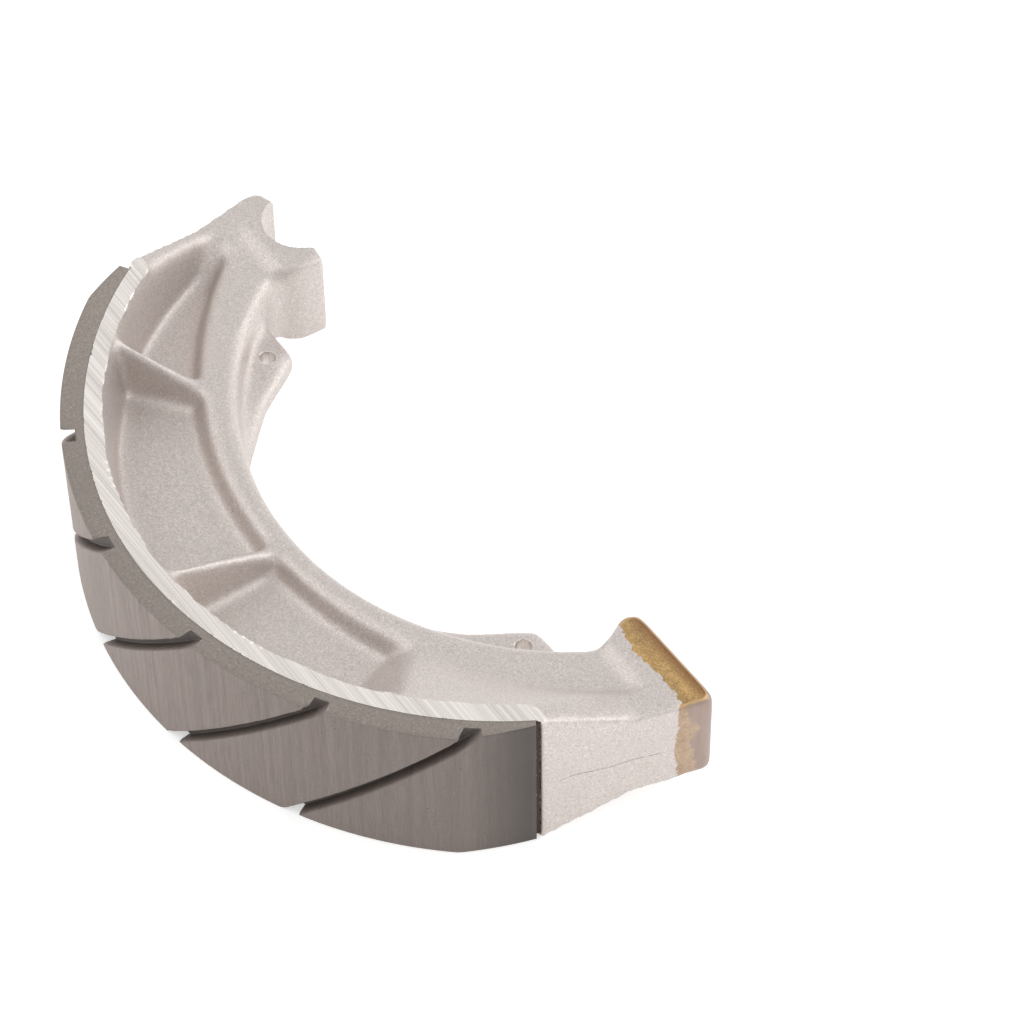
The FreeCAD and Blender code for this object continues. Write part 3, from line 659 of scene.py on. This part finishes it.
def lining_material(s):
    """Ground friction material: fine lines along the axis on the rubbing face, which darkens towards the
    cam end, fine light specks on the sides, painted shade in the saw cuts, and a dark glue line."""
    material, n = new_material("ground_friction_material")
    place = n.position()
    x, y, z = n.split(place)
    radius, angle = n.polar(x, y)
    along = n.add("ShaderNodeUVMap", uv_map="Surface").outputs[0]
    upper = n.math("GREATER_THAN", z, (WIDTH - 0.05) * MM)
    lower = n.math("LESS_THAN", z, 0.05 * MM)
    side = n.math("ADD", upper, lower, clamp=True)
    speck = n.noise(place, 1900.0, 3.0, 0.7)
    cloud = n.noise(place, 90.0, 2.0)
    fibre = n.noise(n.stretched(along, (4200.0, 150.0, 1.0)), 1.0, 3.0, 0.65)
    wheel = n.noise(n.stretched(along, (900.0, 14.0, 1.0)), 1.0, 2.0, 0.5)
    lines = n.math("ADD", n.math("MULTIPLY", fibre, 0.6), n.math("MULTIPLY", wheel, 0.4))
    rub = n.shades(lines, s.rub_colour, [(0.38, 0.78), (0.62, 1.22)])
    rub = n.mix(n.range(angle, -105.0, -38.0, 0.0, 0.62), rub, shade(s.rub_colour, 0.42))
    rub = n.mix(n.range(speck, 0.60, 0.70, 0.0, 0.22), rub, shade(s.rub_colour, 1.7))
    pit = n.range(n.noise(place, 1300.0, 1.0), 0.28, 0.24, 0.0, 0.6)
    rub = n.mix(pit, rub, shade(s.rub_colour, 0.35))
    flat = n.shades(speck, s.side_colour, [(0.32, 0.78), (0.50, 1.0), (0.68, 1.28)])
    flat = n.mix(n.range(angle, -150.0, -110.0, 0.0, 0.35), flat, shade(s.side_colour, 0.5))
    grit = n.range(n.noise(place, 2600.0, 1.0), 0.70, 0.76, 0.0, 0.7)
    flat = n.mix(grit, flat, (0.50, 0.46, 0.40))
    glue = n.range(radius, (s.inner_radius + 0.05) * MM, (s.inner_radius + 0.20) * MM, 0.4, 0.0)
    flat = n.mix(glue, flat, (0.045, 0.034, 0.028))
    colour = n.mix(side, rub, flat)
    # painted shade: the saw cuts turn near black towards their floors
    deep = (s.outer_radius - s.groove_depth - 0.2) * MM
    cut = n.range(radius, deep, (s.outer_radius - 0.4) * MM, 1.0, 0.0)
    inside = n.math("MULTIPLY", cut, n.math("SUBTRACT", 1.0, side))
    colour = n.mix(n.math("MULTIPLY", inside, 0.8), colour, (0.040, 0.034, 0.030))
    colour = n.mix(n.range(cloud, 0.4, 0.75, 0.0, 0.16), colour, shade(s.side_colour, 0.7))
    height = n.math("ADD", n.math("MULTIPLY", fibre, 0.6), n.math("MULTIPLY", speck, 0.5))
    n.surface(colour, 0.55, 0.0, n.bump(height, 0.00006, 1.0))
    return material


class SHOE_OT_lining(bpy.types.Operator):
    """Makes the bonded lining with its ground face and saw-cut grooves"""
    bl_idname = "brake_shoe.lining"
    bl_label = "Make lining"

    def execute(self, context):
        s = context.scene.shoe_lining
        points, quads, ends, uv = lining_mesh(s)
        piece = make_piece("lining_face", points, quads, ends, uv, "friction_lining")
        piece.data.materials.append(lining_material(s))
        return {"FINISHED"}


# Cap

def plated_share(n, place, s):
    """1 on the plated side of a ragged line across the cam arm, 0 on the bare casting."""
    x, y, _ = n.split(place)
    wander = n.noise(place, 620.0, 3.0, 0.6)
    slow = n.noise(place, 150.0, 1.0)
    shift = n.math("MULTIPLY", n.math("SUBTRACT", n.math("ADD", wander, slow), 1.0), s.ragged)
    # the plating reaches further down the arm on its outer side and less far on its inner side
    outside = n.range(x, 0.0812, 0.0826, 0.0, 0.0021)
    inside = n.range(x, 0.0592, 0.0610, -0.0012, 0.0)
    reach = n.math("ADD", n.math("ADD", y, shift), n.math("ADD", outside, inside))
    ahead = n.range(reach, s.line_y - 0.0001, s.line_y + 0.0001)
    return n.math("MULTIPLY", ahead, n.math("GREATER_THAN", x, CAM_END_X))


def cap_colours(n, place, s):
    """Colour and height of the cap: gold on its upper and lower faces, burnt along their edges, and
    rubbed pinkish steel with a tan stain on the faces around."""
    x, y, z = n.split(place)
    stain = n.noise(place, 300.0, 4.0, 0.65)
    fine = n.noise(place, 2300.0, 2.0, 0.6)
    tone = n.math("ADD", n.math("MULTIPLY", stain, 0.5), n.math("MULTIPLY", fine, 0.5))
    gold = n.shades(tone, s.gold_colour, [(0.36, 0.62), (0.50, 1.0), (0.64, 1.45)])
    front = n.range(n.math("ADD", y, n.math("MULTIPLY", stain, 0.0022)), -0.0108, -0.0082)
    corner = n.range(n.math("ADD", x, n.math("MULTIPLY", y, 0.35)), 0.0792, 0.0806)
    burnt = n.math("MAXIMUM", front, n.math("MULTIPLY", corner, 0.6))
    gold = n.mix(n.math("MULTIPLY", burnt, 0.92), gold, s.edge_colour)
    streak = n.noise(n.stretched(place, (520.0, 520.0, 50.0)), 1.0, 3.0)
    worn = n.shades(streak, s.worn_colour, [(0.34, 0.92), (0.66, 1.07)])
    ragged = n.math("ADD", y, n.math("MULTIPLY", n.noise(place, 260.0, 2.0), 0.006))
    stained = n.range(ragged, -0.0098, -0.0104)
    worn = n.mix(stained, worn, n.shades(tone, s.stain_colour, [(0.36, 0.8), (0.64, 1.2)]))
    # off is the distance from the cap's middle plane, and its gold faces begin at 11.05 mm
    off = n.math("ABSOLUTE", n.math("SUBTRACT", z, WIDTH / 2 * MM))
    around = n.math("LESS_THAN", off, 0.01105)
    rim = n.math("MULTIPLY", n.band(off, 0.01095, 0.00008, 0.0001), 0.7)
    worn = n.mix(rim, worn, shade(s.gold_colour, 1.25))
    return n.mix(around, gold, worn), tone


def cap_material(s, casting):
    """Plated steel up to the ragged line, and the casting's own colour beyond it."""
    material, n = new_material("plated_cap_steel")
    place = n.position()
    plated, tone = cap_colours(n, place, s)
    # the blasted colour here also carries its painted highlight specks
    cast, grain, _ = blasted(n, place, casting)
    colour = n.mix(plated_share(n, place, s), cast, plated)
    height = n.math("ADD", n.math("MULTIPLY", tone, 0.8), n.math("MULTIPLY", grain, 0.4))
    n.surface(colour, 0.36, 0.55, n.bump(height, 0.00008, 0.9))
    return material


class SHOE_OT_cap(bpy.types.Operator):
    """Makes the plated steel cap, where the cam pushes"""
    bl_idname = "brake_shoe.cap"
    bl_label = "Finish cap"

    def execute(self, context):
        scene = context.scene
        mesh = beside_seam(*metal_skin(scene.shoe_casting, scene.shoe_lining), wants_cap=True)
        seat_piece("cap_body", mesh, "cam_wear_cap")
        mesh.materials.append(cap_material(scene.shoe_cap, scene.shoe_casting))
        return {"FINISHED"}


# Studio

def studio_camera(s):
    """The camera looks down at the shoe. Its axes are the level one, the rising one and the way back
    from its view, rolled about the view, and then all is turned about the drum's axis."""
    cp, sp = np.cos(s.pitch), np.sin(s.pitch)
    cr, sr = np.cos(s.roll), np.sin(s.roll)
    level, rising, away = np.array([1.0, 0, 0]), np.array([0, sp, cp]), np.array([0, cp, -sp])
    axes = np.stack([cr * level + sr * rising, -sr * level + cr * rising, -away], 1)
    turn = np.array(Matrix.Rotation(np.radians(s.turn), 3, "Z"))
    matrix = np.eye(4)
    matrix[:3, :3] = turn @ axes
    matrix[:3, 3] = turn @ np.array(s.place) * MM
    data = bpy.data.cameras.new("photo_camera")
    data.sensor_width = SENSOR
    data.lens = s.focal / FRAME * SENSOR
    data.clip_start, data.clip_end = 0.05, 20.0
    camera = bpy.data.objects.new("photo_camera", data)
    camera.matrix_world = Matrix(matrix.tolist())
    bpy.context.scene.collection.objects.link(camera)
    bpy.context.scene.camera = camera


def area_light(name, place, size, power):
    """A square soft lamp that faces the middle of the shoe."""
    data = bpy.data.lights.new(name, "AREA")
    data.size, data.energy = size, power
    light = bpy.data.objects.new(name, data)
    back = Vector(place) - Vector((0, -0.05, 0.015))
    turn = back.to_track_quat("Z", "Y").to_matrix().to_4x4()
    light.matrix_world = Matrix.Translation(place) @ turn
    bpy.context.scene.collection.objects.link(light)


def studio_floor():
    """A wide pale floor that keeps the shoe's shadow, and glows a little to the camera and in gloss."""
    half = 6.0
    corners = [(-half, -half, 0), (half, -half, 0), (half, half, 0), (-half, half, 0)]
    mesh = bpy.data.meshes.new("floor")
    mesh.from_pydata(corners, [], [(0, 1, 2, 3)])
    floor = bpy.data.objects.new("floor", mesh)
    bpy.context.scene.collection.objects.link(floor)
    material, n = new_material("white_floor")
    path = n.add("ShaderNodeLightPath").outputs
    seen = n.math("ADD", path["Is Camera Ray"], path["Is Glossy Ray"], clamp=True)
    diffuse = n.add("ShaderNodeBsdfDiffuse", Color=(0.86, 0.86, 0.86))
    glow = n.add("ShaderNodeEmission", Strength=n.math("MULTIPLY", seen, 0.45))
    both = n.add("ShaderNodeAddShader")
    n.plug(both, 0, diffuse.outputs[0])
    n.plug(both, 1, glow.outputs[0])
    n.output(both)
    mesh.materials.append(material)


def studio_sky(s):
    """Light as in a white tent: brighter all round than overhead, and plain white to the camera."""
    world = bpy.data.worlds.new("white_tent")
    world.use_nodes = True
    n = Nodes(world.node_tree)
    world.node_tree.nodes.clear()
    up = n.split(n.add("ShaderNodeTexCoord").outputs["Generated"])[2]
    strength = n.range(up, 0.0, 0.8, s.horizon, s.zenith)
    tent = n.add("ShaderNodeBackground", Color=(1, 1, 1), Strength=strength)
    white = n.add("ShaderNodeBackground", Color=(1, 1, 1), Strength=1.0)
    mix = n.add("ShaderNodeMixShader")
    n.plug(mix, 0, n.add("ShaderNodeLightPath").outputs["Is Camera Ray"])
    n.plug(mix, 1, tent.outputs[0])
    n.plug(mix, 2, white.outputs[0])
    n.output(mix, "ShaderNodeOutputWorld")
    bpy.context.scene.world = world


class SHOE_OT_studio(bpy.types.Operator):
    """Adds the camera, the soft lights and the white floor"""
    bl_idname = "brake_shoe.studio"
    bl_label = "Add studio"

    def execute(self, context):
        s = context.scene.shoe_studio
        studio_camera(s)
        studio_floor()
        studio_sky(s)
        area_light("key_light", (0.38, 0.78, 0.62), 1.1, s.key_power)
        area_light("side_light", (-0.60, -0.60, 0.85), 1.1, s.key_power * 0.6)
        context.scene.view_settings.view_transform = "Standard"
        return {"FINISHED"}


class SHOE_PT_panel(bpy.types.Panel):
    """Steps that finish the brake shoe"""
    bl_idname = "SHOE_PT_panel"
    bl_label = "Brake Shoe"
    bl_space_type = "VIEW_3D"
    bl_region_type = "UI"
    bl_category = "Brake Shoe"

    def draw(self, context):
        for operator in OPERATORS:
            self.layout.operator(operator.bl_idname)
        for name in GROUPS:
            group = getattr(context.scene, name)
            box = self.layout.box()
            for key in group.__annotations__:
                box.prop(group, key)


OPERATORS = (SHOE_OT_casting, SHOE_OT_lining, SHOE_OT_cap, SHOE_OT_studio)
GROUPS = {
    "shoe_casting": CastingFinish,
    "shoe_lining": LiningShape,
    "shoe_cap": CapFinish,
    "shoe_studio": StudioSettings,
}


def register():
    """Adds the groups, operators and panel to Blender."""
    for group in GROUPS.values():
        bpy.utils.register_class(group)
    for name, group in GROUPS.items():
        setattr(bpy.types.Scene, name, PointerProperty(type=group))
    for operator in OPERATORS:
        bpy.utils.register_class(operator)
    bpy.utils.register_class(SHOE_PT_panel)


def unregister():
    """Takes them out again, in the other order."""
    bpy.utils.unregister_class(SHOE_PT_panel)
    for operator in reversed(OPERATORS):
        bpy.utils.unregister_class(operator)
    for name, group in GROUPS.items():
        delattr(bpy.types.Scene, name)
        bpy.utils.unregister_class(group)


def main():
    """Makes the shoe and its studio."""
    register()
    bpy.ops.brake_shoe.casting()
    bpy.ops.brake_shoe.lining()
    bpy.ops.brake_shoe.cap()
    bpy.ops.brake_shoe.studio()


if __name__ == "__main__":
    main()
